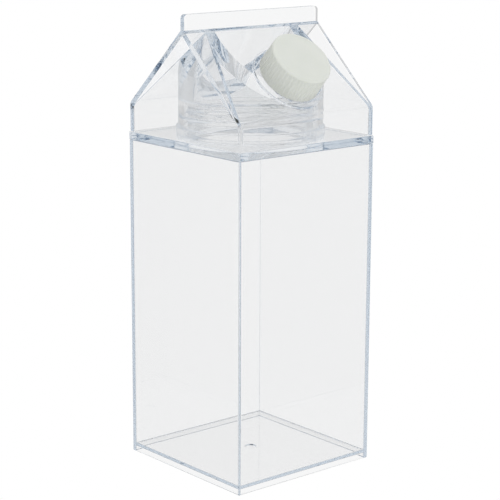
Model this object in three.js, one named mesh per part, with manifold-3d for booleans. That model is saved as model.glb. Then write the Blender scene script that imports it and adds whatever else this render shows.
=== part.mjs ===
// A clear, rigid drinking bottle in the shape of a gable-top carton, empty.
// Millimetres, +Z up. The origin is the middle of the underside. The ridge of the gable runs along X,
// the spout is on the roof panel that faces -Y, and the two gable ends face -X and +X.
import * as THREE from 'three';
import { mergeVertices } from 'three/addons/utils/BufferGeometryUtils.js';
import Module from 'manifold-3d';

const wasm = await Module();
wasm.setup();

// Square body
const side = 70.4;
const wall = 1.4;
const floorThickness = 3.6;
const bodyHeight = 134.0;
const outerCorner = 0.8;
const innerCorner = 0.8;
const footRound = 0.5;
const innerFootRound = 0.6;
const gateRadius = 2.4;
const gateDepth = 0.5;

// Shoulder plate with the threaded neck
const plateSide = 70.6;
const plateThickness = 3.2;
const seam = 0.2;
const neckBore = 22.4;
const neckRadius = 24.9;
const neckHeight = 12.6;
const baseRing = 26.2;
const baseRingHeight = 1.0;

// Threads: height of the ridge, its widths at the root and at the tip, pitch, number of turns,
// steps along them, and how far above its piece's foot it starts
const neckThread = { height: 1.0, root: 1.7, tip: 0.8, pitch: 3.8, turns: 1.6, steps: 48, start: 4.6 };
const lidThread = { height: 1.0, root: 1.6, tip: 0.8, pitch: 3.8, turns: 1.3, steps: 40, start: 6.0 };
const spoutThread = { height: 0.6, root: 1.2, tip: 0.6, pitch: 3.0, turns: 1.5, steps: 32, start: 3.4 };

// How far a thread's root sinks into the wall, the steps it takes to fade out, and its height at its ends
const threadSunk = 0.4;
const threadFade = 4;
const threadStub = 0.1;

// Seal ring between the neck's rim and the lid
const sealThickness = 1.5;
const sealGap = 0.1;
const sealInner = 22.4;
const sealOuter = 26.3;

// Gable lid
const lidSide = 70.0;
const lidWall = 1.4;
const roofWall = 2.2;
const lidCorner = 0.6;
const lidInnerCorner = 1.0;
const foldRadius = 5.0;
const lidGap = 0.3;
const skirtHeight = 11.4;
const roofRise = 32.9;
const apexInset = 11.8;
const finHeight = 5.3;
const finThickness = 2.2;
const finRound = 1.6;
const finRoot = 1.8;

// Collar inside the lid: thick above the seal, a threaded skirt below it
const collarRadius = 28.8;
const collarThreadBore = 26.7;
const collarBoreLow = 22.6;
const collarBoreHigh = 19.2;
const beadRadius = 29.7;
const beadHeight = 3.6;

// Spout on the roof panel, and its screw cap
const spoutDown = 30.0;
const spoutBore = 8.4;
const spoutRadius = 10.0;
const spoutReach = 12;
const spoutHeight = 10.2;
const bossRadius = 15.2;
const bossHeight = 1.1;
const capLift = 1.6;
const capHeight = 11.9;
const capBase = 13.15;
const capTop = 12.75;
const capEdgeRound = 1.3;
const capEdgeBend = 0.3 * capEdgeRound;
const capBore = 11.1;
const capRoof = 1.8;
const ribCount = 48;
const ribDepth = 0.35;

// Heights worked out from the sizes above
const plateBottom = bodyHeight;
const plateTop = plateBottom + plateThickness;
const neckTop = plateTop + neckHeight;
const sealBottom = neckTop + sealGap;
const sealTop = sealBottom + sealThickness;
const ledge = sealTop + sealGap;
const lidBottom = plateTop + lidGap;
const eave = lidBottom + skirtHeight;
const ridge = eave + roofRise;
const lidHalf = lidSide / 2;
const roofSlope = Math.atan2(roofRise, lidHalf);
const gableSlope = apexInset / roofRise;

// Sides of round forms, how far a cutting form runs past what it cuts, and the small edge chamfer
const roundSegments = 80;
const arcSegments = 6;
const spoutSegments = 56;
const gateSegments = 32;
const past = 2;
const edgeBreak = 0.4;

// Colours of the photo
const clear = new THREE.MeshStandardMaterial({
  color: 0xe6eef4, roughness: 0.05, metalness: 0, transparent: true, opacity: 0.3,
});
const silicone = new THREE.MeshStandardMaterial({
  color: 0xd9dcdc, roughness: 0.45, metalness: 0, transparent: true, opacity: 0.7,
});
const white = new THREE.MeshStandardMaterial({ color: 0xdfe2d8, roughness: 0.5, metalness: 0 });

// Closed geometry to a solid and back

function toSolid(geometry) {
  const bare = geometry.index ? geometry.toNonIndexed() : geometry.clone();
  bare.deleteAttribute('normal');
  bare.deleteAttribute('uv');
  const merged = mergeVertices(bare, 1e-4);
  const place = merged.attributes.position;
  const index = merged.index.array;
  const kept = [];
  const a = new THREE.Vector3();
  const b = new THREE.Vector3();
  const c = new THREE.Vector3();
  let volume = 0;
  for (let i = 0; i < index.length; i += 3) {
    const [p, q, r] = [index[i], index[i + 1], index[i + 2]];
    if (p === q || q === r || r === p) {
      continue;
    }
    kept.push(p, q, r);
    a.fromBufferAttribute(place, p);
    b.fromBufferAttribute(place, q);
    c.fromBufferAttribute(place, r);
    volume += a.dot(b.cross(c));
  }
  if (volume < 0) {
    kept.reverse();
  }
  return new wasm.Manifold(new wasm.Mesh({
    numProp: 3,
    vertProperties: new Float32Array(place.array),
    triVerts: new Uint32Array(kept),
  }));
}

function toGeometry(solid) {
  const mesh = solid.getMesh();
  const geometry = new THREE.BufferGeometry();
  geometry.setAttribute('position', new THREE.BufferAttribute(new Float32Array(mesh.vertProperties), 3));
  geometry.setIndex(new THREE.BufferAttribute(new Uint32Array(mesh.triVerts), 1));
  geometry.computeVertexNormals();
  return geometry;
}

function named(name, solid, material) {
  const mesh = new THREE.Mesh(toGeometry(solid), material);
  mesh.name = name;
  return mesh;
}

// Basic forms

function roundedSquare(size, radius) {
  const h = size / 2;
  const s = new THREE.Shape();
  s.moveTo(-h + radius, -h);
  s.lineTo(h - radius, -h);
  s.absarc(h - radius, -h + radius, radius, -Math.PI / 2, 0);
  s.lineTo(h, h - radius);
  s.absarc(h - radius, h - radius, radius, 0, Math.PI / 2);
  s.lineTo(-h + radius, h);
  s.absarc(-h + radius, h - radius, radius, Math.PI / 2, Math.PI);
  s.lineTo(-h, -h + radius);
  s.absarc(-h + radius, -h + radius, radius, Math.PI, Math.PI * 1.5);
  return s;
}

// A square block from one height to another
function squareBlock(size, radius, from, to) {
  const shape = roundedSquare(size, radius);
  const block = new THREE.ExtrudeGeometry(shape, {
    depth: to - from, curveSegments: arcSegments, bevelEnabled: false,
  });
  block.translate(0, 0, from);
  return toSolid(block);
}

// The same with its lower edge rounded: it is made taller, rounded at both ends and cut at its top
function footedBlock(size, radius, from, to, round) {
  const shape = roundedSquare(size, radius);
  const tall = new THREE.ExtrudeGeometry(shape, {
    depth: to - from,
    curveSegments: arcSegments,
    bevelEnabled: true,
    bevelThickness: round,
    bevelSize: round,
    bevelOffset: -round,
    bevelSegments: 3,
  });
  tall.translate(0, 0, from + round);
  const keep = new THREE.BoxGeometry(size + past, size + past, to - from);
  keep.translate(0, 0, (from + to) / 2);
  return toSolid(tall).intersect(toSolid(keep));
}

// A turned form about Z: points are [radius, height]
function turned(points, segments = roundSegments) {
  const profile = points.map(([r, z]) => new THREE.Vector2(r, z));
  const lathe = new THREE.LatheGeometry(profile, segments);
  lathe.rotateX(Math.PI / 2);
  return lathe;
}

function disc(radius, from, to, segments) {
  return turned([[0, from], [radius, from], [radius, to], [0, to]], segments);
}

// An outline through corners given as [across, height, radius], with an arc at each that has a radius.
// The first two corners are sharp.
function outline(corners) {
  const shape = new THREE.Shape();
  const corner = (i) => new THREE.Vector2(...corners[(i + corners.length) % corners.length]);
  shape.moveTo(corners[0][0], corners[0][1]);
  for (let i = 1; i < corners.length; i += 1) {
    const at = corner(i);
    const radius = corners[i][2] ?? 0;
    if (radius === 0) {
      shape.lineTo(at.x, at.y);
      continue;
    }
    const back = corner(i - 1).sub(at).normalize();
    const on = corner(i + 1).sub(at).normalize();
    const half = Math.acos(back.dot(on)) / 2;
    const centre = back.clone().add(on).setLength(radius / Math.sin(half)).add(at);
    const from = back.multiplyScalar(radius / Math.tan(half)).add(at).sub(centre);
    const to = on.multiplyScalar(radius / Math.tan(half)).add(at).sub(centre);
    shape.absarc(centre.x, centre.y, radius, from.angle(), to.angle(), from.cross(to) < 0);
  }
  return shape;
}

// An outline in the Y-Z plane, extruded along X, and one in the X-Z plane, extruded along Y
function alongX(shape, length) {
  const geometry = new THREE.ExtrudeGeometry(shape, {
    depth: length, bevelEnabled: false, curveSegments: arcSegments,
  });
  geometry.translate(0, 0, -length / 2);
  const turn = new THREE.Matrix4().makeBasis(
    new THREE.Vector3(0, 1, 0), new THREE.Vector3(0, 0, 1), new THREE.Vector3(1, 0, 0),
  );
  return geometry.applyMatrix4(turn);
}

function alongY(shape, length) {
  const geometry = new THREE.ExtrudeGeometry(shape, {
    depth: length, bevelEnabled: false, curveSegments: arcSegments,
  });
  geometry.translate(0, 0, -length / 2);
  const turn = new THREE.Matrix4().makeBasis(
    new THREE.Vector3(1, 0, 0), new THREE.Vector3(0, 0, 1), new THREE.Vector3(0, -1, 0),
  );
  return geometry.applyMatrix4(turn);
}

// A thread ridge: a long box wound into a helix, which fades out at both ends.
// It stands out from a wall of the given radius, or inward from it where the way is -1.
function thread(radius, foot, size, way = 1) {
  const ridge = new THREE.BoxGeometry(1, 1, 1, 1, 1, size.steps);
  const place = ridge.attributes.position;
  for (let i = 0; i < place.count; i += 1) {
    const out = place.getX(i) + 0.5;
    const across = place.getY(i);
    const along = place.getZ(i) + 0.5;
    const fromEnd = Math.min(along, 1 - along) * size.steps / threadFade;
    const height = size.height * (threadStub + (1 - threadStub) * Math.min(1, fromEnd));
    const r = radius + way * (out * (threadSunk + height) - threadSunk);
    const width = size.root + (size.tip - size.root) * out;
    const angle = along * size.turns * 2 * Math.PI;
    const z = foot + size.start + along * size.turns * size.pitch + across * width;
    place.setXYZ(i, r * Math.cos(angle), r * Math.sin(angle), z);
  }
  return toSolid(ridge);
}

// Body: a square cup with a moulding dimple in the middle of its floor

function buildBody() {
  const top = bodyHeight - seam / 2;
  const outer = footedBlock(side, outerCorner, 0, top, footRound);
  const inner = footedBlock(side - 2 * wall, innerCorner, floorThickness, top + past, innerFootRound);
  const gate = toSolid(disc(gateRadius, floorThickness - gateDepth, floorThickness + past, gateSegments));
  return outer.subtract(inner).subtract(gate);
}

// Shoulder plate and neck

function buildShoulder() {
  const plate = squareBlock(plateSide, outerCorner, plateBottom + seam / 2, plateTop);
  const neck = toSolid(turned([
    [0, plateTop - 1],
    [baseRing, plateTop - 1],
    [baseRing, plateTop + baseRingHeight - edgeBreak],
    [baseRing - edgeBreak, plateTop + baseRingHeight],
    [neckRadius, plateTop + baseRingHeight],
    [neckRadius, neckTop - edgeBreak],
    [neckRadius - edgeBreak, neckTop],
    [0, neckTop],
  ]));
  const ridge = thread(neckRadius, plateTop, neckThread);
  const bore = toSolid(disc(neckBore, plateBottom - past, neckTop + past));
  return plate.add(neck).add(ridge).subtract(bore);
}

function buildSeal() {
  return toSolid(turned([
    [sealInner, sealBottom],
    [sealOuter, sealBottom],
    [sealOuter, sealTop],
    [sealInner, sealTop],
    [sealInner, sealBottom],
  ]));
}

// Gable lid

// The two roof slopes and the walls below them, from end to end of the lid, with the eaves rounded.
// The insets move the upright walls and the slopes inward, for the hollow.
function roofPrism(wallInset, roofInset, bottom, length) {
  const half = lidHalf - wallInset;
  const peak = ridge - roofInset / Math.cos(roofSlope);
  const shoulder = peak - half * Math.tan(roofSlope);
  const bend = foldRadius - wallInset;
  return toSolid(alongX(outline([
    [-half, bottom], [half, bottom], [half, shoulder, bend], [0, peak], [-half, shoulder, bend],
  ]), length));
}

// The house shape: a square below the eave, under the roof slopes and between gable ends that lean inward
function house(wallInset, roofInset, bottom, corner) {
  const half = lidHalf - wallInset;
  const lean = wallInset * Math.sqrt(1 + gableSlope ** 2);
  const endAt = (z) => lidHalf - lean - (z - eave) * gableSlope;
  const knee = eave - (lean - wallInset) / gableSlope;
  const above = ridge + past;
  const bend = foldRadius - wallInset;
  const ends = outline([
    [-half, bottom - past],
    [half, bottom - past],
    [half, knee, bend],
    [endAt(above), above],
    [-endAt(above), above],
    [-half, knee, bend],
  ]);
  return roofPrism(wallInset, roofInset, bottom, 2 * half)
    .intersect(toSolid(alongY(ends, 2 * (half + past))))
    .intersect(squareBlock(2 * half, corner, bottom, above));
}

// The two roof panels at their full length, so that their ends stand out past the gable ends
function roofPanels() {
  const bottom = eave - foldRadius;
  const inside = roofPrism(lidWall, roofWall, bottom - past, lidSide + past);
  return roofPrism(0, 0, bottom, lidSide)
    .subtract(inside)
    .intersect(squareBlock(lidSide, lidCorner, bottom, ridge + past));
}

function ridgeFin() {
  const low = ridge - finRoot;
  const high = ridge + finHeight;
  return toSolid(alongY(outline([
    [-lidHalf, low], [lidHalf, low], [lidHalf, high, finRound], [-lidHalf, high, finRound],
  ]), finThickness));
}

function collarOutside() {
  return toSolid(turned([
    [0, lidBottom],
    [beadRadius - edgeBreak, lidBottom],
    [beadRadius, lidBottom + edgeBreak],
    [beadRadius, lidBottom + beadHeight - edgeBreak],
    [collarRadius, lidBottom + beadHeight],
    [collarRadius, ridge + past],
    [0, ridge + past],
  ]));
}

function collarInside() {
  return toSolid(turned([
    [0, lidBottom - past],
    [collarThreadBore, lidBottom - past],
    [collarThreadBore, ledge],
    [collarBoreLow, ledge],
    [collarBoreHigh, ridge],
    [0, ridge],
  ]));
}

// The spout's own frame: its axis is square to the front roof panel, and its origin is on the panel's face
function spoutPlace() {
  const place = new THREE.Object3D();
  place.position.set(0, -spoutDown * Math.cos(roofSlope), ridge - spoutDown * Math.sin(roofSlope));
  place.rotation.x = roofSlope;
  place.updateMatrix();
  return place;
}

function buildLid() {
  const shell = house(0, 0, lidBottom, lidCorner);
  const hollow = house(lidWall, roofWall, lidBottom - past, lidInnerCorner);
  const spout = spoutPlace().matrix;
  const collar = collarOutside().intersect(shell);
  const boss = toSolid(turned([
    [0, -1],
    [bossRadius, -1],
    [bossRadius, bossHeight - edgeBreak],
    [bossRadius - edgeBreak, bossHeight],
    [spoutRadius, bossHeight],
    [spoutRadius, spoutHeight - edgeBreak],
    [spoutRadius - edgeBreak, spoutHeight],
    [0, spoutHeight],
  ], spoutSegments).applyMatrix4(spout));
  const spoutRidge = thread(spoutRadius, 0, spoutThread).transform(spout.elements);
  const bore = toSolid(disc(spoutBore, -spoutReach, spoutHeight + past, spoutSegments).applyMatrix4(spout));
  return shell
    .subtract(hollow)
    .add(roofPanels())
    .add(ridgeFin())
    .add(collar)
    .add(boss)
    .add(spoutRidge)
    .subtract(collarInside().intersect(hollow))
    .add(thread(collarThreadBore, lidBottom, lidThread, -1))
    .subtract(bore);
}

// Screw cap: a cup with a ribbed side, in the spout's frame

function buildCap() {
  const top = capLift + capHeight;
  const profile = [
    [0, top - capRoof],
    [capBore, top - capRoof],
    [capBore, capLift],
    [capBase - edgeBreak, capLift],
    [capBase, capLift + edgeBreak],
    [capTop, top - capEdgeRound],
    [capTop - capEdgeBend, top - capEdgeBend],
    [capTop - capEdgeRound, top],
    [0, top],
  ];
  const cap = turned(profile, 2 * ribCount);
  const place = cap.attributes.position;
  for (let i = 0; i < place.count; i += 1) {
    const x = place.getX(i);
    const y = place.getY(i);
    const r = Math.hypot(x, y);
    const step = Math.round(Math.atan2(y, x) / Math.PI * ribCount);
    const onSide = r > capTop - ribDepth / 2;
    if (onSide && step % 2 !== 0) {
      const k = (r - ribDepth) / r;
      place.setXY(i, x * k, y * k);
    }
  }
  return toSolid(cap);
}

// The whole bottle

const bottle = new THREE.Group();
bottle.add(named('body_shell', buildBody(), clear));
bottle.add(named('shoulder_neck', buildShoulder(), clear));
bottle.add(named('seal_ring', buildSeal(), silicone));
bottle.add(named('gable_lid', buildLid(), clear));

const spoutGroup = new THREE.Group();
const spoutFrame = spoutPlace();
spoutGroup.position.copy(spoutFrame.position);
spoutGroup.rotation.copy(spoutFrame.rotation);
spoutGroup.add(named('spout_cap', buildCap(), white));
bottle.add(spoutGroup);

export default bottle;
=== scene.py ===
"""A clear, empty bottle in the shape of a gable-top carton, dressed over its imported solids."""

import math

import bmesh
import bpy
from mathutils import Matrix, Vector


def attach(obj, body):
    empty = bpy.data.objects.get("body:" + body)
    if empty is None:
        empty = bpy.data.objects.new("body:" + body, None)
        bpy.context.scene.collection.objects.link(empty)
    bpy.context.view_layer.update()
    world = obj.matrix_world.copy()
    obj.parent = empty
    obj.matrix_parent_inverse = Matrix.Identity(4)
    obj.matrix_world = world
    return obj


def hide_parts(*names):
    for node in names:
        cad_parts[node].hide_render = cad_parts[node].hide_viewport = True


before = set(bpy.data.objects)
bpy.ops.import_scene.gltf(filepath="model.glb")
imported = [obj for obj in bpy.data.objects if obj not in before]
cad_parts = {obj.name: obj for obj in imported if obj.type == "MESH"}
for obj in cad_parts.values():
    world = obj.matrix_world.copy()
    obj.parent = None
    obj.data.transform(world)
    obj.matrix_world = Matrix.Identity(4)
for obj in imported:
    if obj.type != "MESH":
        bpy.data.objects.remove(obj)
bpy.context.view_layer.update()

# Units: sizes are in millimetres and become metres when a mesh is made
MM = 0.001

# How near points merge, and how far a cutting form runs past what it cuts
MERGE_DISTANCE = 0.002
PAST = 2.0

# An outline's guide points lie this far off: they only give its ends a direction, and are dropped
AWAY = 1.0

# Square body
SIDE = 70.4
WALL = 1.4
FLOOR = 3.6
FLOOR_THICKNESS = 1.2
FOOT_WALL = 1.4
BODY_TOP = 133.9
OUTER_CORNER = 0.3
INNER_CORNER = 0.3
LEAST_CORNER = 0.03
FOOT_ROUND = 0.4
INNER_FOOT_ROUND = 0.25
RIM_ROUND = 0.2
LIP_ROUND = 0.25
GATE_RADIUS = 2.4
GATE_DEPTH = 0.45
GATE_ROUND = 0.2
GATE_EDGE_ROUND = 0.15
GATE_APRON = 1.0
MIDDLE_RING = 1.0

# Shoulder plate and neck
PLATE_SIDE = 70.6
PLATE_BOTTOM = 134.1
PLATE_TOP = 137.2
PLATE_ROUND = 0.25
NECK_BORE = 22.4
NECK_RADIUS = 24.9
NECK_TOP = 149.8
BASE_RING = 26.2
BASE_RING_HEIGHT = 1.0
BASE_RING_ROUND = 0.3
NECK_FOOT_ROUND = 0.4
NECK_ROUND = 0.5

# Threads: height of the ridge, width at its root, pitch, turns, and the height at which it starts
NECK_THREAD = {"height": 0.6, "root": 1.7, "pitch": 3.8, "turns": 1.6, "start": PLATE_TOP + 4.6}
LID_THREAD = {"height": 0.5, "root": 1.6, "pitch": 3.8, "turns": 1.3, "start": 143.5}
SPOUT_THREAD = {"height": 0.6, "root": 1.2, "pitch": 3.0, "turns": 1.5, "start": 3.4}

# A ridge's roundness, the share of its length in which it fades, its depth in the wall, and its end's height
THREAD_SHAPE = 0.6
THREAD_FADE = 0.06
THREAD_SUNK = 0.4
THREAD_STUB = 0.1
THREAD_SIDES = 10
THREAD_STEPS = 160

# Seal ring
SEAL_INNER = 22.4
SEAL_OUTER = 26.3
SEAL_BOTTOM = 149.9
SEAL_TOP = 151.4
SEAL_ROUND = 0.35

# Gable lid
LID_SIDE = 70.0
LID_WALL = 1.4
ROOF_WALL = 2.2
LID_CORNER = 0.6
LID_INNER_CORNER = 1.0
FOLD_RADIUS = 5.0
LID_BOTTOM = 137.5
EAVE = 148.9
RIDGE = 181.8
APEX_INSET = 11.8
FIN_HEIGHT = 5.3
FIN_THICKNESS = 2.2
FIN_ROUND = 1.6
FIN_ROOT = 1.8
LEDGE = 151.5

# Collar inside the lid
COLLAR_RADIUS = 28.8
COLLAR_THREAD_BORE = 26.7
COLLAR_BORE_LOW = 22.6
COLLAR_BORE_HIGH = 19.2
COLLAR_ROUND = 0.4
LEDGE_ROUND = 0.3
BEAD_RADIUS = 29.7
BEAD_HEIGHT = 3.6

# Spout and cap, in the spout's own frame
SPOUT_DOWN = 30.0
SPOUT_BORE = 8.4
SPOUT_RADIUS = 10.0
SPOUT_REACH = 12.0
SPOUT_HEIGHT = 10.2
SPOUT_SUNK = 1.0
SPOUT_RIM_ROUND = 0.35
BOSS_RADIUS = 15.2
BOSS_HEIGHT = 1.1
BOSS_ROUND = 0.4
CAP_LIFT = 1.6
CAP_HEIGHT = 11.84
CAP_BASE = 13.0
CAP_TOP = 12.72
CAP_EDGE_ROUND = 1.3
CAP_FOOT_ROUND = 0.4
CAP_FOOT_START = 0.5
CAP_BORE = 11.1
CAP_BORE_ROUND = 0.2
CAP_ROOF = 1.8
CAP_ROOF_ROUND = 0.6
CAP_MIDDLE_RING = 0.5

# Ribs on the cap's side: where they lie between its foot and its top edge, and how they fade there
RIB_COUNT = 48
RIB_DEPTH = 0.2
RIB_ABOVE_FOOT = 0.9
RIB_BELOW_EDGE = 0.3
RIB_BAND = 0.2
RIB_FADE = 0.8
RIB_FOOT_FADE_START = 0.4
RIB_TOP_FADE_END = 0.5
RIB_TOP_GAP = 0.4

# Fineness of the meshes
ARC_STEPS = 12
FOLD_STEPS = 12
SIDE_STEPS = 52
ROUND_STEPS = 8
TURN_STEPS = 256
SPOUT_STEPS = 160
RIB_ROWS = 14
RIB_STEPS = 16

# Degrees between faces of one flat stretch, and between faces that shade as one smooth surface
FLAT_ANGLE = 0.15
SMOOTH_ANGLE = 20

# Worked out from the sizes above
FLAT_COSINE = math.cos(math.radians(FLAT_ANGLE))
SMOOTH_COSINE = math.cos(math.radians(SMOOTH_ANGLE))
LID_HALF = LID_SIDE / 2
ROOF_SLOPE = math.atan2(RIDGE - EAVE, LID_HALF)
GABLE_SLOPE = APEX_INSET / (RIDGE - EAVE)


# Outlines and profiles

def rounded(corners, steps=ROUND_STEPS, closed=True):
    """Points of a line through (x, y, radius) corners, with an arc at each corner that has a radius."""
    out = []
    count = len(corners)
    for i, (x, y, radius) in enumerate(corners):
        at = Vector((x, y))
        if radius <= 0 or (not closed and i in (0, count - 1)):
            out.append((x, y))
            continue
        back = (Vector(corners[i - 1][:2]) - at).normalized()
        on = (Vector(corners[(i + 1) % count][:2]) - at).normalized()
        half = math.acos(max(-1.0, min(1.0, back.dot(on)))) / 2
        centre = at + (back + on).normalized() * (radius / math.sin(half))
        start = at + back * (radius / math.tan(half)) - centre
        end = at + on * (radius / math.tan(half)) - centre
        turn = math.atan2(start.x * end.y - start.y * end.x, start.dot(end))
        first = math.atan2(start.y, start.x)
        for k in range(steps + 1):
            a = first + turn * k / steps
            out.append((centre.x + radius * math.cos(a), centre.y + radius * math.sin(a)))
    return out


def square_ring(half, corner, z, side_steps=1):
    """A level ring of points round a square with rounded corners, anticlockwise from the +X -Y corner."""
    out = []
    turns = ((1, -1, -90), (1, 1, 0), (-1, 1, 90), (-1, -1, 180))
    reach = half - corner
    for sx, sy, first in turns:
        for k in range(ARC_STEPS + 1):
            a = math.radians(first + 90 * k / ARC_STEPS)
            out.append((sx * reach + corner * math.cos(a), sy * reach + corner * math.sin(a), z))
        a = math.radians(first + 90)
        start = Vector(out[-1])
        along = Vector((-math.sin(a), math.cos(a), 0)) * (2 * reach / side_steps)
        out.extend(tuple(start + along * k) for k in range(1, side_steps))
    return out


def circle_ring(radius, z, side_steps=1):
    """A level circle with as many points as a square ring, its points in step with the square's."""
    count = 4 * (ARC_STEPS + side_steps)
    first = -math.pi / 4 - math.pi * ARC_STEPS / count
    turn = [first + 2 * math.pi * k / count for k in range(count)]
    return [(radius * math.cos(a), radius * math.sin(a), z) for a in turn]


# Meshes

def piece(name, vertices, faces):
    """A mesh object from points in millimetres."""
    mesh = bpy.data.meshes.new(name)
    mesh.from_pydata([Vector(v) * MM for v in vertices], [], faces)
    obj = bpy.data.objects.new(name, mesh)
    bpy.context.scene.collection.objects.link(obj)
    return obj


def loft(name, rings, closed=False):
    """A closed skin over rings of equal count, capped at both ends or joined end to end."""
    count = len(rings[0])
    vertices = [p for ring in rings for p in ring]
    pairs = [(i, i + 1) for i in range(len(rings) - 1)]
    if closed:
        pairs.append((len(rings) - 1, 0))
    faces = []
    for a, b in pairs:
        for k in range(count):
            n = (k + 1) % count
            faces.append((a * count + k, a * count + n, b * count + n, b * count + k))
    if not closed:
        last = (len(rings) - 1) * count
        faces.append(tuple(reversed(range(count))))
        faces.append(tuple(range(last, last + count)))
    return tidy(piece(name, vertices, faces))


def tidy(obj):
    """Merges doubled points and turns every face outward."""
    bm = bmesh.new()
    bm.from_mesh(obj.data)
    bmesh.ops.remove_doubles(bm, verts=bm.verts, dist=MERGE_DISTANCE * MM)
    bmesh.ops.dissolve_degenerate(bm, edges=bm.edges, dist=MERGE_DISTANCE * MM)
    bmesh.ops.recalc_face_normals(bm, faces=bm.faces)
    bm.to_mesh(obj.data)
    bm.free()
    return obj


def prism(name, points, place, length):
    """An outline pushed along a line: place turns (across, up, along) into a point."""
    count = len(points)
    half = length / 2
    vertices = [place(u, v, -half) for u, v in points] + [place(u, v, half) for u, v in points]
    faces = [(k, (k + 1) % count, count + (k + 1) % count, count + k) for k in range(count)]
    faces.append(tuple(reversed(range(count))))
    faces.append(tuple(range(count, 2 * count)))
    return tidy(piece(name, vertices, faces))


def turned(name, profile, steps=TURN_STEPS, radius_at=None):
    """A turned solid about Z from (radius, height) points that start and end on the axis.

    A function radius_at(angle, radius, height) may change the radius round the turn.
    """
    size = radius_at or (lambda angle, r, z: r)
    rings = []
    for r, z in profile[1:-1]:
        angles = (2 * math.pi * k / steps for k in range(steps))
        rings.append([(size(a, r, z) * math.cos(a), size(a, r, z) * math.sin(a), z) for a in angles])
    return loft(name, rings)


def thread(name, radius, spec, way=1):
    """A thread ridge wound out of a wall of the given radius, or inward from it where the way is -1."""
    rings = []
    count = round(THREAD_STEPS * spec["turns"])
    for i in range(count + 1):
        along = i / count
        fade = min(1.0, along / THREAD_FADE, (1 - along) / THREAD_FADE)
        height = spec["height"] * (THREAD_STUB + (1 - THREAD_STUB) * math.sin(fade * math.pi / 2))
        angle = along * spec["turns"] * 2 * math.pi
        middle = spec["start"] + along * spec["turns"] * spec["pitch"]
        ring = []
        for k in range(THREAD_SIDES + 1):
            across = 2 * k / THREAD_SIDES - 1
            out = height * ((1 + math.cos(across * math.pi)) / 2) ** THREAD_SHAPE
            ring.append((radius + way * out, across * spec["root"] / 2))
        ring.append((radius - way * THREAD_SUNK, spec["root"] / 2))
        ring.append((radius - way * THREAD_SUNK, -spec["root"] / 2))
        rings.append([(r * math.cos(angle), r * math.sin(angle), middle + z) for r, z in ring])
    return loft(name, rings)


def combine(obj, other, operation):
    """Joins, cuts or crosses obj with another solid, which is used up."""
    change = obj.modifiers.new("change", "BOOLEAN")
    change.operation = operation
    change.solver = "MANIFOLD"
    change.object = other
    graph = bpy.context.evaluated_depsgraph_get()
    made = bpy.data.meshes.new_from_object(obj.evaluated_get(graph))
    obj.modifiers.clear()
    old = obj.data
    obj.data = made
    bpy.data.meshes.remove(old)
    bpy.data.objects.remove(other)
    return obj


def flat_groups(bm):
    """Numbers the stretches of faces that lie in one plane, and gives each stretch's area."""
    group = [-1] * len(bm.faces)
    areas = []
    for seed in bm.faces:
        if group[seed.index] >= 0:
            continue
        group[seed.index] = len(areas)
        area = 0.0
        waiting = [seed]
        while waiting:
            face = waiting.pop()
            area += face.calc_area()
            for edge in face.edges:
                for other in edge.link_faces:
                    if group[other.index] < 0 and other.normal.dot(seed.normal) > FLAT_COSINE:
                        group[other.index] = len(areas)
                        waiting.append(other)
        areas.append(area)
    return group, areas


def crisp(obj):
    """Gives each corner of each face a normal led by the largest flat stretch that meets it smoothly."""
    bm = bmesh.new()
    bm.from_mesh(obj.data)
    bm.faces.ensure_lookup_table()
    bm.normal_update()
    group, areas = flat_groups(bm)
    normals = []
    for face in bm.faces:
        face.smooth = True
        for loop in face.loops:
            seen = set()
            total = Vector((0, 0, 0))
            for other in loop.vert.link_faces:
                number = group[other.index]
                if number not in seen and other.normal.dot(face.normal) > SMOOTH_COSINE:
                    seen.add(number)
                    total += other.normal * areas[number]
            normals.append(total.normalized() if total.length > 0 else face.normal.copy())
    bm.to_mesh(obj.data)
    bm.free()
    obj.data.normals_split_custom_set(normals)
    return obj


def square_rings(half, corner, path, side_steps=1):
    """Square rings along a path of (distance outward, height) points."""
    return [square_ring(half + off, max(corner + off, LEAST_CORNER), z, side_steps) for off, z in path]


def circle_rings(path, side_steps=1):
    """Circles along a path of (radius, height) points."""
    return [circle_ring(r, z, side_steps) for r, z in path]


# Body: a square cup on a foot rim, with a moulding dimple in the middle of its floor


def make_body():
    half = SIDE / 2
    inner = half - WALL
    foot = half - FOOT_WALL
    under = FLOOR - FLOOR_THICKNESS
    apron = GATE_RADIUS + GATE_APRON
    gate_floor = FLOOR - GATE_DEPTH
    rings = circle_rings([(MIDDLE_RING, under), (apron, under)])
    rings += square_rings(foot, INNER_CORNER, rounded([
        (-AWAY, under, 0), (0, under, INNER_FOOT_ROUND), (0, 0, RIM_ROUND), (AWAY, 0, 0),
    ], closed=False)[1:-1])
    rings += square_rings(half, OUTER_CORNER, rounded([
        (-AWAY, 0, 0), (0, 0, FOOT_ROUND), (0, BODY_TOP, LIP_ROUND), (-AWAY, BODY_TOP, 0),
    ], closed=False)[1:-1])
    rings += square_rings(inner, INNER_CORNER, rounded([
        (AWAY, BODY_TOP, 0), (0, BODY_TOP, LIP_ROUND), (0, FLOOR, INNER_FOOT_ROUND), (-AWAY, FLOOR, 0),
    ], closed=False)[1:-1])
    rings += circle_rings(rounded([
        (apron, FLOOR, 0), (GATE_RADIUS, FLOOR, GATE_EDGE_ROUND), (GATE_RADIUS, gate_floor, GATE_ROUND),
        (MIDDLE_RING, gate_floor, 0),
    ], closed=False))
    return loft("body_clear", rings)


# Shoulder plate with the threaded neck, and the seal ring on its rim

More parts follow.
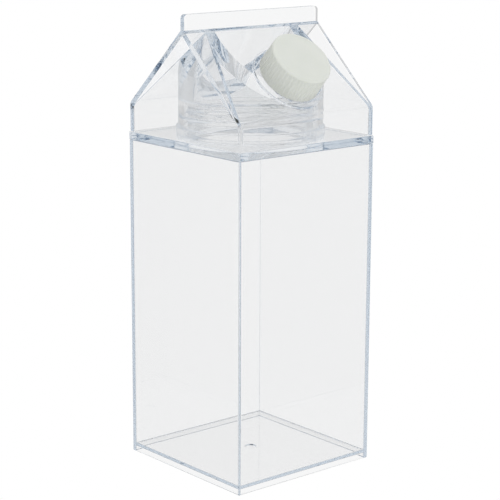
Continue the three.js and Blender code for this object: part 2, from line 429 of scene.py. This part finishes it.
def make_shoulder():
    side = rounded([
        (-AWAY, PLATE_BOTTOM, 0), (0, PLATE_BOTTOM, PLATE_ROUND), (0, PLATE_TOP, PLATE_ROUND),
        (-AWAY, PLATE_TOP, 0),
    ], closed=False)[1:-1]
    ring_top = PLATE_TOP + BASE_RING_HEIGHT
    neck = rounded([
        (BASE_RING + AWAY, PLATE_TOP, 0), (BASE_RING, PLATE_TOP, BASE_RING_ROUND),
        (BASE_RING, ring_top, BASE_RING_ROUND), (NECK_RADIUS, ring_top, NECK_FOOT_ROUND),
        (NECK_RADIUS, NECK_TOP, NECK_ROUND), (NECK_BORE, NECK_TOP, NECK_ROUND),
        (NECK_BORE, PLATE_BOTTOM, PLATE_ROUND), (NECK_BORE + AWAY, PLATE_BOTTOM, 0),
    ], closed=False)[1:-1]
    rings = [circle_ring(NECK_BORE + PLATE_ROUND, PLATE_BOTTOM, SIDE_STEPS)]
    rings += square_rings(PLATE_SIDE / 2, OUTER_CORNER, side, SIDE_STEPS)
    rings += circle_rings(neck, SIDE_STEPS)
    shoulder = loft("shoulder_clear", rings, closed=True)
    return combine(shoulder, thread("ridge", NECK_RADIUS, NECK_THREAD), "UNION")


def make_seal():
    profile = rounded([
        (SEAL_INNER, SEAL_BOTTOM, SEAL_ROUND), (SEAL_OUTER, SEAL_BOTTOM, SEAL_ROUND),
        (SEAL_OUTER, SEAL_TOP, SEAL_ROUND), (SEAL_INNER, SEAL_TOP, SEAL_ROUND),
    ])
    return loft("seal_soft", circle_rings(profile, SIDE_STEPS), closed=True)


# Gable lid

def roof_prism(name, wall_inset, roof_inset, bottom, length):
    """The two roof slopes and the walls below them, from end to end of the lid, with rounded eaves."""
    half = LID_HALF - wall_inset
    peak = RIDGE - roof_inset / math.cos(ROOF_SLOPE)
    shoulder = peak - half * math.tan(ROOF_SLOPE)
    bend = FOLD_RADIUS - wall_inset
    points = rounded([
        (-half, bottom, 0), (half, bottom, 0), (half, shoulder, bend), (0, peak, 0), (-half, shoulder, bend),
    ], FOLD_STEPS)
    return prism(name, points, lambda u, v, w: (w, u, v), length)


def square_prism(name, half, corner, bottom, top):
    """An upright square block with rounded corners."""
    rings = [square_ring(half, corner, bottom), square_ring(half, corner, top)]
    return loft(name, rings)


def house(name, wall_inset, roof_inset, bottom, corner):
    """The house shape: a square below the eave, under the roof slopes and between leaning gable ends."""
    half = LID_HALF - wall_inset
    lean = wall_inset * math.sqrt(1 + GABLE_SLOPE ** 2)
    knee = EAVE - (lean - wall_inset) / GABLE_SLOPE
    low = bottom - PAST
    high = RIDGE + PAST
    end = LID_HALF - lean - (high - EAVE) * GABLE_SLOPE
    bend = FOLD_RADIUS - wall_inset
    ends = rounded([
        (-half, low, 0), (half, low, 0), (half, knee, bend), (end, high, 0), (-end, high, 0),
        (-half, knee, bend),
    ], FOLD_STEPS)
    body = roof_prism(name, wall_inset, roof_inset, bottom, 2 * half)
    combine(body, prism("ends", ends, lambda u, v, w: (u, -w, v), 2 * (half + PAST)), "INTERSECT")
    return combine(body, square_prism("square", half, corner, bottom, high), "INTERSECT")


def lid_outside(name, bottom):
    return house(name, 0, 0, bottom, LID_CORNER)


def lid_hollow():
    """The room inside the lid's walls."""
    return house("hollow", LID_WALL, ROOF_WALL, LID_BOTTOM - PAST, LID_INNER_CORNER)


def roof_panels():
    """The two roof panels at their full length: their ends stand out past the gable ends."""
    bottom = EAVE - FOLD_RADIUS
    panels = roof_prism("panels", 0, 0, bottom, LID_SIDE)
    combine(panels, roof_prism("inside", LID_WALL, ROOF_WALL, bottom - PAST, LID_SIDE + PAST), "DIFFERENCE")
    return combine(panels, square_prism("square", LID_HALF, LID_CORNER, bottom, RIDGE + PAST), "INTERSECT")


def ridge_fin():
    """The upright fin along the ridge, sunk a little into it."""
    high = RIDGE + FIN_HEIGHT
    side = rounded([
        (-LID_HALF, RIDGE - FIN_ROOT, 0), (LID_HALF, RIDGE - FIN_ROOT, 0), (LID_HALF, high, FIN_ROUND),
        (-LID_HALF, high, FIN_ROUND),
    ], FOLD_STEPS)
    return prism("fin", side, lambda u, v, w: (u, -w, v), FIN_THICKNESS)


def collar_outside():
    """The collar's tube, up through the roof, with the bead round its foot."""
    bead_top = LID_BOTTOM + BEAD_HEIGHT
    return turned("collar", rounded([
        (0, LID_BOTTOM, 0), (BEAD_RADIUS, LID_BOTTOM, COLLAR_ROUND), (BEAD_RADIUS, bead_top, COLLAR_ROUND),
        (COLLAR_RADIUS, bead_top, COLLAR_ROUND), (COLLAR_RADIUS, RIDGE + PAST, 0), (0, RIDGE + PAST, 0),
    ], closed=False))


def collar_inside():
    """What is cut out of the collar: the bore below the ledge and the cone above it."""
    low = LID_BOTTOM - PAST
    return turned("bore", rounded([
        (0, low, 0), (COLLAR_THREAD_BORE, low, 0), (COLLAR_THREAD_BORE, LEDGE, LEDGE_ROUND),
        (COLLAR_BORE_LOW, LEDGE, LEDGE_ROUND), (COLLAR_BORE_HIGH, RIDGE, 0), (0, RIDGE, 0),
    ], closed=False))


def spout_frame():
    """Places the spout: its axis is square to the front roof panel, from the panel's face."""
    at = Vector((0, -SPOUT_DOWN * math.cos(ROOF_SLOPE), RIDGE - SPOUT_DOWN * math.sin(ROOF_SLOPE))) * MM
    return Matrix.Translation(at) @ Matrix.Rotation(ROOF_SLOPE, 4, "X")


def on_spout(obj):
    obj.data.transform(spout_frame())
    return obj


def spout_outside():
    """The spout's tube on its low round boss."""
    return on_spout(turned("spout", rounded([
        (0, -SPOUT_SUNK, 0), (BOSS_RADIUS, -SPOUT_SUNK, 0), (BOSS_RADIUS, BOSS_HEIGHT, BOSS_ROUND),
        (SPOUT_RADIUS, BOSS_HEIGHT, BOSS_ROUND), (SPOUT_RADIUS, SPOUT_HEIGHT, SPOUT_RIM_ROUND),
        (0, SPOUT_HEIGHT, 0),
    ], closed=False), SPOUT_STEPS))


def spout_hole():
    low, high = -SPOUT_REACH, SPOUT_HEIGHT + PAST
    return on_spout(turned("hole", [(0, low), (SPOUT_BORE, low), (SPOUT_BORE, high), (0, high)], SPOUT_STEPS))


def make_lid():
    lid = lid_outside("lid_clear", LID_BOTTOM)
    combine(lid, lid_hollow(), "DIFFERENCE")
    combine(lid, roof_panels(), "UNION")
    combine(lid, ridge_fin(), "UNION")
    collar = combine(collar_outside(), lid_outside("shell", LID_BOTTOM - PAST), "INTERSECT")
    combine(lid, collar, "UNION")
    combine(lid, spout_outside(), "UNION")
    bore = combine(collar_inside(), lid_hollow(), "INTERSECT")
    combine(lid, bore, "DIFFERENCE")
    combine(lid, thread("lid_ridge", COLLAR_THREAD_BORE, LID_THREAD, -1), "UNION")
    combine(lid, on_spout(thread("spout_ridge", SPOUT_RADIUS, SPOUT_THREAD)), "UNION")
    return combine(lid, spout_hole(), "DIFFERENCE")


# Screw cap with a finely ribbed side

def make_cap():
    top = CAP_LIFT + CAP_HEIGHT
    roof = top - CAP_ROOF
    rib_low = CAP_LIFT + RIB_ABOVE_FOOT
    rib_high = top - CAP_EDGE_ROUND - RIB_BELOW_EDGE
    outside = rounded([
        (CAP_BORE, CAP_LIFT, 0), (CAP_BASE, CAP_LIFT, CAP_FOOT_ROUND), (CAP_TOP, top, CAP_EDGE_ROUND),
        (CAP_MIDDLE_RING, top, 0),
    ], closed=False)
    inside = rounded([
        (MIDDLE_RING, roof, 0), (CAP_BORE, roof, CAP_ROOF_ROUND), (CAP_BORE, CAP_LIFT, CAP_BORE_ROUND),
        (CAP_BASE - CAP_FOOT_START, CAP_LIFT, 0),
    ], closed=False)
    side = []
    for k in range(1, RIB_ROWS):
        share = k / RIB_ROWS
        side.append((CAP_BASE + (CAP_TOP - CAP_BASE) * share, rib_low + (rib_high - rib_low) * share))
    foot = [p for p in outside if p[1] <= rib_low]
    edge = [p for p in outside if p[1] >= rib_high]

    def ribbed(angle, r, z):
        if r < CAP_TOP - RIB_BAND or not CAP_LIFT < z < top - RIB_TOP_GAP:
            return r
        from_foot = max(0.0, (z - CAP_LIFT - RIB_FOOT_FADE_START) / RIB_FADE)
        from_top = max(0.0, (rib_high + RIB_TOP_FADE_END - z) / RIB_FADE)
        wave = (1 - math.cos(angle * RIB_COUNT)) / 2
        return r - RIB_DEPTH * min(1.0, from_foot, from_top) * (1 - wave ** 2)

    profile = [(0, roof)] + inside + foot + side + edge + [(0, top)]
    return on_spout(turned("cap_ribbed", profile, RIB_STEPS * RIB_COUNT, ribbed))


# Materials: noise scales are in waves to a metre, and bump heights in metres
BLACK = (0.0, 0.0, 0.0, 1.0)
WHITE = (1.0, 1.0, 1.0, 1.0)
NOISE_DETAIL = 2.0
NOISE_LOW = 0.3
NOISE_HIGH = 0.7

# Clear materials: colour, refraction, range and scale of the roughness, and height and scale of the waves
PLASTIC = {
    "colour": (0.975, 0.975, 0.975, 1.0), "ior": 1.57, "rough": (0.0, 0.015), "rough_scale": 90.0,
    "wave": 0.0000006, "wave_scale": 60.0, "wave_detail": 1.0,
}
SILICONE = {
    "colour": (0.97, 0.97, 0.97, 1.0), "ior": 1.41, "rough": (0.0, 0.03), "rough_scale": 400.0,
    "wave": 0.000001, "wave_scale": 200.0, "wave_detail": NOISE_DETAIL,
}
EDGE_COLOUR = (0.38, 0.51, 0.64, 1.0)
EDGE_DENSITY = 10.5

# Cap plastic
CAP_DARK = (0.685, 0.71, 0.66, 1.0)
CAP_LIGHT = (0.71, 0.73, 0.685, 1.0)
CAP_COLOUR_SCALE = 120.0
CAP_COLOUR_DETAIL = 3.0
CAP_ROUGH = (0.42, 0.55)
CAP_ROUGH_SCALE = 600.0
CAP_GRAIN = 0.00002
CAP_GRAIN_SCALE = 1500.0
CAP_SCATTER = 0.15
CAP_SCATTER_RADIUS = (0.003, 0.003, 0.0025)
CAP_SCATTER_SCALE = 0.5


def new_material(name):
    material = bpy.data.materials.new(name)
    material.use_nodes = True
    return material, material.node_tree, material.node_tree.nodes["Principled BSDF"]


def noise(tree, scale, detail=NOISE_DETAIL):
    """A noise in the piece's own metres."""
    place = tree.nodes.new("ShaderNodeTexCoord")
    made = tree.nodes.new("ShaderNodeTexNoise")
    made.inputs["Scale"].default_value = scale
    made.inputs["Detail"].default_value = detail
    tree.links.new(place.outputs["Object"], made.inputs["Vector"])
    return made.outputs["Fac"]


def spread(tree, value, low, high):
    """Maps a noise to a range."""
    made = tree.nodes.new("ShaderNodeMapRange")
    made.inputs["From Min"].default_value = NOISE_LOW
    made.inputs["From Max"].default_value = NOISE_HIGH
    made.inputs["To Min"].default_value = low
    made.inputs["To Max"].default_value = high
    tree.links.new(value, made.inputs["Value"])
    return made.outputs["Result"]


def bump(tree, shader, height, distance):
    made = tree.nodes.new("ShaderNodeBump")
    made.inputs["Strength"].default_value = 1.0
    made.inputs["Distance"].default_value = distance
    tree.links.new(height, made.inputs["Height"])
    tree.links.new(made.outputs["Normal"], shader.inputs["Normal"])


def clear_material(name, look):
    """A clear material with a slightly uneven polish and faint waves."""
    material, tree, shader = new_material(name)
    shader.inputs["Base Color"].default_value = look["colour"]
    shader.inputs["IOR"].default_value = look["ior"]
    shader.inputs["Transmission Weight"].default_value = 1.0
    tree.links.new(spread(tree, noise(tree, look["rough_scale"]), *look["rough"]), shader.inputs["Roughness"])
    bump(tree, shader, noise(tree, look["wave_scale"], look["wave_detail"]), look["wave"])
    return material


def clear_plastic():
    """Clear, polished styrene plastic: nearly colourless through a wall, blue where light runs along it."""
    material = clear_material("clear_plastic", PLASTIC)
    tree = material.node_tree
    absorb = tree.nodes.new("ShaderNodeVolumeAbsorption")
    absorb.inputs["Color"].default_value = EDGE_COLOUR
    absorb.inputs["Density"].default_value = EDGE_DENSITY
    tree.links.new(absorb.outputs["Volume"], tree.nodes["Material Output"].inputs["Volume"])
    return material


def seal_silicone():
    """Clear, soft silicone."""
    return clear_material("seal_silicone", SILICONE)


def cap_plastic():
    """Opaque off-white plastic with a fine moulded grain."""
    material, tree, shader = new_material("cap_plastic")
    mix = tree.nodes.new("ShaderNodeMix")
    mix.data_type = "RGBA"
    mix.inputs["A"].default_value = CAP_DARK
    mix.inputs["B"].default_value = CAP_LIGHT
    shade = noise(tree, CAP_COLOUR_SCALE, CAP_COLOUR_DETAIL)
    tree.links.new(spread(tree, shade, 0.0, 1.0), mix.inputs["Factor"])
    tree.links.new(mix.outputs["Result"], shader.inputs["Base Color"])
    tree.links.new(spread(tree, noise(tree, CAP_ROUGH_SCALE), *CAP_ROUGH), shader.inputs["Roughness"])
    shader.inputs["Subsurface Weight"].default_value = CAP_SCATTER
    shader.inputs["Subsurface Radius"].default_value = CAP_SCATTER_RADIUS
    shader.inputs["Subsurface Scale"].default_value = CAP_SCATTER_SCALE
    bump(tree, shader, noise(tree, CAP_GRAIN_SCALE), CAP_GRAIN)
    return material


def dress(obj, material, slot, *nodes):
    """Gives a piece its material, and says which CAD nodes it replaces and what it rides on."""
    obj.data.materials.clear()
    obj.data.materials.append(material)
    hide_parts(*nodes)
    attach(obj, "root")


# Camera, at the photo's angle: degrees, metres, and the focal length in pixels of the picture
CAMERA_AZIMUTH = -40.3
CAMERA_ELEVATION = 12.86
CAMERA_ROLL = 0.23
CAMERA_DISTANCE = 0.6957
CAMERA_TARGET_RIGHT = -0.0001
CAMERA_TARGET_HEIGHT = 0.08862
PICTURE_WIDTH = 500
FOCAL_PIXELS = 1685
SENSOR_WIDTH = 36
CLIP_START = 0.01


def make_camera():
    camera = bpy.data.objects.new("camera", bpy.data.cameras.new("camera"))
    bpy.context.scene.collection.objects.link(camera)
    az, el = math.radians(CAMERA_AZIMUTH), math.radians(CAMERA_ELEVATION)
    back = Vector((math.sin(az) * math.cos(el), -math.cos(az) * math.cos(el), math.sin(el)))
    right = Vector((math.cos(az), math.sin(az), 0))
    up = back.cross(right)
    target = Vector((0, 0, CAMERA_TARGET_HEIGHT)) + right * CAMERA_TARGET_RIGHT
    turn = Matrix((right, up, back)).transposed().to_4x4()
    roll = Matrix.Rotation(math.radians(CAMERA_ROLL), 4, "Z")
    camera.matrix_world = Matrix.Translation(target + back * CAMERA_DISTANCE) @ turn @ roll
    camera.data.sensor_width = SENSOR_WIDTH
    camera.data.lens = FOCAL_PIXELS / PICTURE_WIDTH * SENSOR_WIDTH
    camera.data.clip_start = CLIP_START
    bpy.context.scene.camera = camera


# Studio: a white floor and surround, which reflections see as a dimmer room
WHITE_LEVEL = 1.0
REFLECTED_LEVEL = 0.62
BEHIND_LEVEL = 0.78
FRONT_LEVEL = 0.42
GUIDED_LEVEL = 0.97
SHADE_LEVEL = 1.04
HALF_BOUNCE = 0.5
FRONT_SIDE = (math.sin(math.radians(CAMERA_AZIMUTH)), -math.cos(math.radians(CAMERA_AZIMUTH)), 0.0)

# The floor's side in metres, and its drop below the foot in millimetres
FLOOR_SIZE = 8.0
FLOOR_DROP = 0.3

# Soft light from above: metres and watts
LIGHT_PLACE = (-0.2, 0.1, 0.9)
LIGHT_AIM = (0.0, 0.0, 0.12)
LIGHT_SIZE = 0.7
LIGHT_POWER = 0.1

# Bounces of light inside clear plastic, and through what lets it pass straight on
BOUNCES = 256
STRAIGHT_BOUNCES = 32


def above(tree, count, limit):
    """One where a counted number of bounces is above a limit."""
    made = tree.nodes.new("ShaderNodeMath")
    made.operation = "GREATER_THAN"
    made.inputs[1].default_value = limit + HALF_BOUNCE
    tree.links.new(count, made.inputs[0])
    return made.outputs["Value"]


def switch(tree, factor, before, after):
    """A level, or a socket with one, that changes where the factor is one."""
    made = tree.nodes.new("ShaderNodeMix")
    for name, level in (("A", before), ("B", after)):
        if isinstance(level, float):
            made.inputs[name].default_value = level
        else:
            tree.links.new(level, made.inputs[name])
    tree.links.new(factor, made.inputs["Factor"])
    return made.outputs["Result"]


def studio_level(tree, reflected):
    """White straight through clear plastic, dimmer in a mirror image, and white once light is guided."""
    path = tree.nodes.new("ShaderNodeLightPath")
    gloss, diffuse = path.outputs["Glossy Depth"], path.outputs["Diffuse Depth"]
    level = switch(tree, above(tree, gloss, 0), WHITE_LEVEL, reflected)
    level = switch(tree, above(tree, gloss, 1), level, GUIDED_LEVEL)
    return switch(tree, above(tree, diffuse, 0), level, SHADE_LEVEL)


def behind_to_front(tree):
    """The mirror images' level: white from behind the bottle, dim from the room in front of it."""
    place = tree.nodes.new("ShaderNodeTexCoord")
    side = tree.nodes.new("ShaderNodeVectorMath")
    side.operation = "DOT_PRODUCT"
    side.inputs[1].default_value = FRONT_SIDE
    tree.links.new(place.outputs["Generated"], side.inputs[0])
    blend = tree.nodes.new("ShaderNodeMapRange")
    blend.inputs["From Min"].default_value = -1.0
    blend.inputs["From Max"].default_value = 1.0
    blend.inputs["To Min"].default_value = BEHIND_LEVEL
    blend.inputs["To Max"].default_value = FRONT_LEVEL
    tree.links.new(side.outputs["Value"], blend.inputs["Value"])
    return blend.outputs["Result"]


def make_world():
    world = bpy.data.worlds.new("studio")
    bpy.context.scene.world = world
    world.use_nodes = True
    tree = world.node_tree
    background = tree.nodes["Background"]
    background.inputs["Color"].default_value = WHITE
    tree.links.new(studio_level(tree, behind_to_front(tree)), background.inputs["Strength"])


def make_floor():
    half = FLOOR_SIZE / 2 / MM
    corners = [(sx * half, sy * half, -FLOOR_DROP) for sx, sy in ((-1, -1), (1, -1), (1, 1), (-1, 1))]
    ground = piece("floor", corners, [(0, 1, 2, 3)])
    material, tree, shader = new_material("floor_paper")
    shader.inputs["Base Color"].default_value = BLACK
    shader.inputs["Specular IOR Level"].default_value = 0.0
    shader.inputs["Emission Color"].default_value = WHITE
    tree.links.new(studio_level(tree, REFLECTED_LEVEL), shader.inputs["Emission Strength"])
    ground.data.materials.append(material)


def make_light():
    light = bpy.data.lights.new("top_light", "AREA")
    light.shape = "SQUARE"
    light.size = LIGHT_SIZE
    light.energy = LIGHT_POWER
    obj = bpy.data.objects.new("top_light", light)
    bpy.context.scene.collection.objects.link(obj)
    obj.location = LIGHT_PLACE
    obj.rotation_euler = (Vector(LIGHT_AIM) - Vector(LIGHT_PLACE)).to_track_quat("-Z", "Y").to_euler()
    obj.visible_camera = False
    obj.visible_transmission = False


def light_paths():
    """Light runs along the clear walls by many inner reflections before it comes out."""
    cycles = bpy.context.scene.cycles
    cycles.max_bounces = BOUNCES
    cycles.glossy_bounces = BOUNCES
    cycles.transmission_bounces = BOUNCES
    cycles.transparent_max_bounces = STRAIGHT_BOUNCES


make_camera()
make_world()
make_floor()
make_light()
light_paths()
bpy.context.scene.view_settings.view_transform = "Standard"

clear = clear_plastic()
dress(crisp(make_body()), clear, "clear_plastic", "body_shell")
dress(crisp(make_shoulder()), clear, "clear_plastic", "shoulder_neck")
dress(crisp(make_lid()), clear, "clear_plastic", "gable_lid")
dress(crisp(make_seal()), seal_silicone(), "seal_silicone", "seal_ring")
dress(crisp(make_cap()), cap_plastic(), "cap_plastic", "spout_cap")
